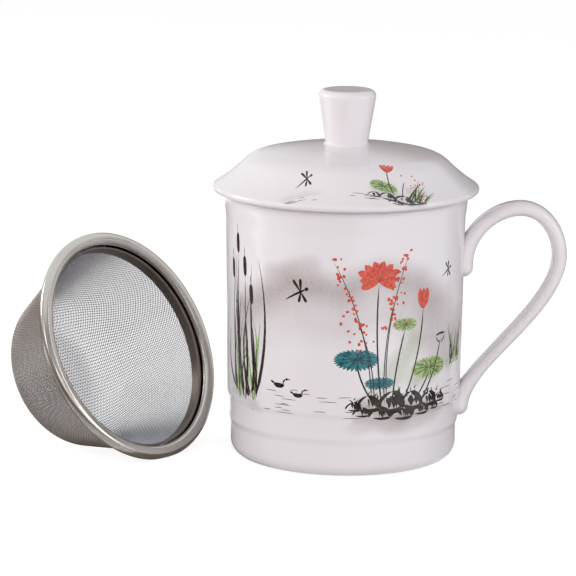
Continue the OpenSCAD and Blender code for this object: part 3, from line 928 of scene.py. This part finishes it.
# ---- Lid decal in red ----
# Iron red, fired on with the lid's ink: a bud that opens, and small blossoms at the reeds, each of
# one short touch.
red = [touch((14, -34), (14 + lean, -28.8), 1.6, -0.2 * lean, 0.6, 0.6)
       for lean in (-2.2, -0.8, 0.8, 2.2)]
for _ in range(22):
    at = np.array([draw.normal(25, 2.2), draw.uniform(-39, -31)])
    red.append(touch(at - (0.3, 0.1), at + (0.3, 0.1), 0.6))
lid_red = painted("lid_decal_red", red, red_proud, over_lid, red_paint)
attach(lid_red, "lid")
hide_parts("lid_dome")


# ---- Lid decal in green ----
# Leaf green, fired on with the lid's ink: the floating leaf, made of touches out from its heart,
# and some blades.
green = veins((13, -39.5), (10.5, 4.2), 24, 0.9)
green += blades(draw, 6, spread=(22, 28), foot=-42, lean=(1, 2), tip=(-39, -34),
                width=(0.5, 0.9), bend=0.5)
lid_green = painted("lid_decal_green", green, green_proud, over_lid, green_paint)
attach(lid_green, "lid")
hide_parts("lid_dome")


# ---- Lid knob ----
# A waisted porcelain stem that widens upward to a shallow dish. It is cast apart, luted to the
# lid's crown with slip, and glazed with it.
knob_height = 20.3
knob_foot = 8
knob_top = 10.8
knob_edge = 2.5
knob_fillet = 0.7
knob_dish = 0.1
knob_pitch = 1
dish_steps = 10
knob_turns = 128

knob_z = crown_top + knob_height
dish_radius = knob_top - knob_edge
knob_outline = (
    crown_arc(crown_sphere, crown_top, 0, knob_foot + knob_fillet, 4)
    + arc((knob_foot + knob_fillet, crown_top + knob_fillet), knob_fillet, -92, -180)
    + arc((dish_radius, knob_z - knob_edge), knob_edge, -6, 90, 16)
    + [(dish_radius * (1 - i / dish_steps), knob_z - knob_dish * (1 - (1 - i / dish_steps) ** 2))
       for i in range(1, dish_steps + 1)]
)
knob = turned("lid_knob_porcelain", evenly(knob_outline, knob_pitch), knob_turns)
knob.data.materials.append(porcelain("knob_porcelain", decorated=False))
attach(knob, "lid")
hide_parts("lid_knob")


# ---- Strainer rim ----
# One ring of stainless sheet, pressed into a neck, turned over a round edge into a flange and
# rolled into a bead at its outside. The strainer lies on its bead and on its bowl's round corner.
rim_radius = 44.8
neck_radius = 39.8
sheet = 0.5
bead = 2.2
neck_edge = 2
neck_height = 4.6
sharp_edge = 50
strainer_middle = (-81.154 * mm, -1.2 * mm, 40.531 * mm)
strainer_turns = (0, radians(90 - 25.868), radians(-37))


def laid_down(piece):
    """Lays a piece that was made upright about the z axis down beside the mug."""
    piece.rotation_euler = strainer_turns
    piece.location = strainer_middle
    bpy.ops.object.transform_apply(location=True, rotation=True, scale=True)


edge_middle = (neck_radius + neck_edge, bead - neck_edge)
bead_middle = (rim_radius - bead, 0)
rim_outline = (
    [(neck_radius, -neck_height), (neck_radius, -neck_height / 2)]
    + arc(edge_middle, neck_edge, 180, 90)
    + arc(bead_middle, bead, 90, -200, 40)
    + arc(bead_middle, bead - sheet, -200, 90, 40)
    + arc(edge_middle, neck_edge - sheet, 90, 180)
    + [(neck_radius + sheet, -neck_height / 2), (neck_radius + sheet, -neck_height),
       (neck_radius, -neck_height)]
)
rim = turned("strainer_rim_steel", rim_outline, crease=sharp_edge)
laid_down(rim)

# Spun steel: fine rings left by the roller round the strainer's own axis, and faint smears.
spun, given = shader_group(
    "spun_steel", [("Vector", "Vector", (0, 0, 0)), ("Steel", "Color", (0.6, 0.6, 0.6, 1)),
                   ("Satin", "Float", 0.3)])
upright = node(spun, "Mapping", vector_type="TEXTURE", Vector=given["Vector"],
               Location=strainer_middle, Rotation=strainer_turns)
axes = node(spun, "SeparateXYZ", Vector=upright)
level = node(spun, "CombineXYZ", X=axes.outputs["X"], Y=axes.outputs["Y"])
radius = node(spun, "VectorMath", operation="LENGTH", i0=level)
across = node(spun, "Math", operation="ADD", i0=radius.outputs["Value"], i1=axes.outputs["Z"])
lines = node(spun, "TexNoise", noise_dimensions="1D", W=across, Scale=2600.0, Detail=3.0)
smear = node(spun, "TexNoise", Vector=upright, Scale=70.0, Detail=3.0)
streak = node(spun, "Math", operation="MULTIPLY_ADD", i0=lines, i1=0.5, i2=smear)
tone = node(spun, "MapRange", Value=streak, From_Min=0.5, From_Max=1.0, To_Min=0.9, To_Max=1.04)
tinted = node(spun, "VectorMath", operation="SCALE", i0=given["Steel"], Scale=tone)
rough = node(spun, "Math", operation="MULTIPLY_ADD", i0=smear, i1=0.12, i2=given["Satin"])
grooves = node(spun, "Bump", Strength=0.35, Distance=0.02 * mm, Height=lines)
node(spun, "NodeGroupOutput", Color=tinted, Roughness=rough, Normal=grooves)


def steel(name, colour, satin):
    """Stainless steel of one tone and polish, with the marks of spinning, and its surface."""
    material = bpy.data.materials.new(name)
    tree = emptied(material)
    place = node(tree, "TexCoord").outputs["Object"]
    marks = node(tree, "Group", node_tree=spun, Vector=place, Steel=colour, Satin=satin)
    return material, finished(tree, marks, Metallic=1.0)


rim.data.materials.append(steel("rim_steel", linear(200, 197, 192), 0.18)[0])
# Painted shade: the neck's faces get a much darker steel than the rest of the rim, so the neck
# reads as a dark groove.
rim.data.materials.append(steel("neck_steel_painted_shade", linear(112, 108, 104), 0.06)[0])
upright = Matrix.LocRotScale(Vector(strainer_middle), Euler(strainer_turns), None)
for face in rim.data.polygons:
    spot = upright.inverted() @ face.center / mm
    if hypot(spot.x, spot.y) < neck_radius + sheet / 2 and spot.z < bead - neck_edge:
        face.material_index = 1
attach(rim, "strainer")
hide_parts("strainer_rim")


# ---- Strainer band ----
# A stainless strip bent into a ring and pressed into the neck, where it clamps the edge of the
# wire cloth. It is duller than the rim.
band_upper = 0.6
band_thickness = 1
cloth_thickness = 0.5

band_outer = neck_radius - cloth_thickness
band_inner = band_outer - band_thickness
band_round = band_thickness * 0.9
band = turned("strainer_band_steel", (
    [(band_inner, -neck_height), (band_outer, -neck_height), (band_outer, -band_upper)]
    + arc((band_inner + band_round, -band_upper - band_round), band_round, 90, 180)
    + [(band_inner, -neck_height)]
), crease=sharp_edge)
laid_down(band)
band.data.materials.append(steel("band_steel", linear(124, 114, 108), 0.32)[0])
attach(band, "strainer")
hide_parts("strainer_band")


# ---- Strainer mesh ----
# Plain-woven stainless wire cloth, cut to a disc and drawn over a punch into a deep bowl. Warp and
# weft are two pieces, the warp wires closer together. Each wire passes over one of the other
# piece's and under the next.
bowl_depth = 40
bowl_taper = 13.2
bowl_corner = 14
cloth_edge = 0.8
warp_pitch = 0.72
weft_pitch = 1.2
wire_radius = 0.15
wire_sides = 6
bowl_pitch = 0.5
slope_reach = 0.4

wall_lean = atan(bowl_taper / (bowl_depth - neck_height))
corner_at = neck_radius - bowl_taper - bowl_corner / tan((pi / 2 + wall_lean) / 2)
bowl_outline = np.array(evenly(
    [(0, -bowl_depth)]
    + arc((corner_at, bowl_corner - bowl_depth), bowl_corner, -90, -degrees(wall_lean), 24)
    + [(neck_radius, -neck_height), (neck_radius, -band_upper - cloth_edge)], bowl_pitch))
steps = np.linalg.norm(np.diff(bowl_outline, axis=0), axis=1)
bowl_length = np.concatenate([[0], np.cumsum(steps)])

# Painted shade: the wires are darker where they sink between the crossing wires, towards the
# middle of the cloth, and lightest on their crests. They also keep a little tea stain on the bowl's
# outside.
wire, finish = steel("wire_steel", linear(238, 241, 251), 0.26)
tree = wire.node_tree
inward = node(tree, "Attribute", attribute_name="inward")
crest = node(tree, "Math", operation="ABSOLUTE", i0=inward.outputs["Fac"])
# Painted shade: darker towards the middle of the cloth, where the wires pass between each other.
between_wire_shade = node(tree, "MapRange", Value=crest, To_Min=0.42, To_Max=1.0)
wire_colour_with_painted_shade = node(tree, "VectorMath", operation="SCALE",
              i0=finish.inputs["Base Color"].links[0].from_socket, Scale=between_wire_shade)
inside = node(tree, "MapRange", Value=inward.outputs["Fac"], From_Min=-0.3, From_Max=0.3)
stain = node(tree, "Mix", data_type="RGBA", i0=inside, i6=(0.96, 0.86, 0.75, 1), i7=(1, 1, 1, 1))
stained = node(tree, "VectorMath", operation="MULTIPLY", i0=wire_colour_with_painted_shade, i1=stain.outputs[2])
tree.links.new(stained.outputs["Vector"], finish.inputs["Base Color"])


def on_bowl(reach):
    """Radius and height of the bowl's sheet, at a way of reach along it from its middle."""
    return [np.interp(reach, bowl_length, bowl_outline[:, k]) for k in (0, 1)]


def wire_cloth(name, apart, crossing, across):
    """The wires of one direction, that far apart and woven over and under wires at the crossing
    pitch, made flat, cut to a disc and drawn to the bowl's shape."""
    beside_middle, along_middle = (int(bowl_length[-1] / pitch) for pitch in (apart, crossing))
    cloth = begun(name, bpy.ops.mesh.primitive_circle_add, vertices=wire_sides,
                  radius=wire_radius * mm, rotation=(0, pi / 2, 0))
    bpy.ops.object.transform_apply(location=True, rotation=True, scale=True)
    editing()
    bpy.ops.mesh.select_all(action="SELECT")
    lift = wire_radius * mm
    bpy.ops.transform.translate(
        value=(-along_middle * crossing * mm, -beside_middle * apart * mm, lift))
    for i in range(2 * along_middle):
        lift = -lift
        bpy.ops.mesh.extrude_region_move(
            TRANSFORM_OT_translate={"value": (crossing * mm, 0, 2 * lift)})
    editing(False)
    modified(cloth, "ARRAY", use_relative_offset=False, use_constant_offset=True,
             constant_offset_displace=(0, apart * mm, 0), count=2 * beside_middle + 1)
    flat = np.zeros(len(cloth.data.vertices) * 3)
    cloth.data.vertices.foreach_get("co", flat)
    rings = flat.reshape(-1, wire_sides, 3) / mm
    middles = rings.mean(axis=1)
    odd = np.round((middles[:, 1] - middles[0, 1]) / apart).astype(int) % 2 == 1
    rings[odd, :, 2] -= 2 * middles[odd, 2][:, None]
    kept = np.hypot(middles[:, 0], middles[:, 1]) < bowl_length[-1]
    if across:
        rings[:] = np.stack([-rings[..., 1], rings[..., 0], -rings[..., 2]], axis=-1)
    flat = rings.reshape(-1, 3)
    reach = np.hypot(flat[:, 0], flat[:, 1])
    radius, height = on_bowl(reach)
    ahead, up = (after - before for before, after in zip(on_bowl(reach - slope_reach),
                                                         on_bowl(reach + slope_reach)))
    slope = np.maximum(np.hypot(ahead, up), 1e-6)
    radius = radius - flat[:, 2] * up / slope
    height = height + flat[:, 2] * ahead / slope
    around = np.arctan2(flat[:, 1], flat[:, 0])
    drawn = np.stack([radius * np.cos(around), radius * np.sin(around), height], axis=1) * mm
    cloth.data.vertices.foreach_set("co", drawn.ravel())
    inward = cloth.data.attributes.new("inward", "FLOAT", "POINT")
    inward.data.foreach_set("value", np.clip(flat[:, 2] / (2 * wire_radius), -1, 1))
    editing()
    bpy.ops.mesh.select_all(action="DESELECT")
    editing(False)
    cloth.data.vertices.foreach_set("select", np.repeat(~kept, wire_sides))
    editing()
    bpy.ops.mesh.delete(type="VERT")
    bpy.ops.mesh.select_all(action="SELECT")
    bpy.ops.mesh.fill_holes(sides=wire_sides)
    turned_out()
    bpy.ops.object.shade_smooth()
    laid_down(cloth)
    cloth.data.materials.append(wire)
    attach(cloth, "strainer")
    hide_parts("strainer_mesh")


wire_cloth("strainer_mesh_warp", warp_pitch, weft_pitch, across=False)
wire_cloth("strainer_mesh_weft", weft_pitch, warp_pitch, across=True)
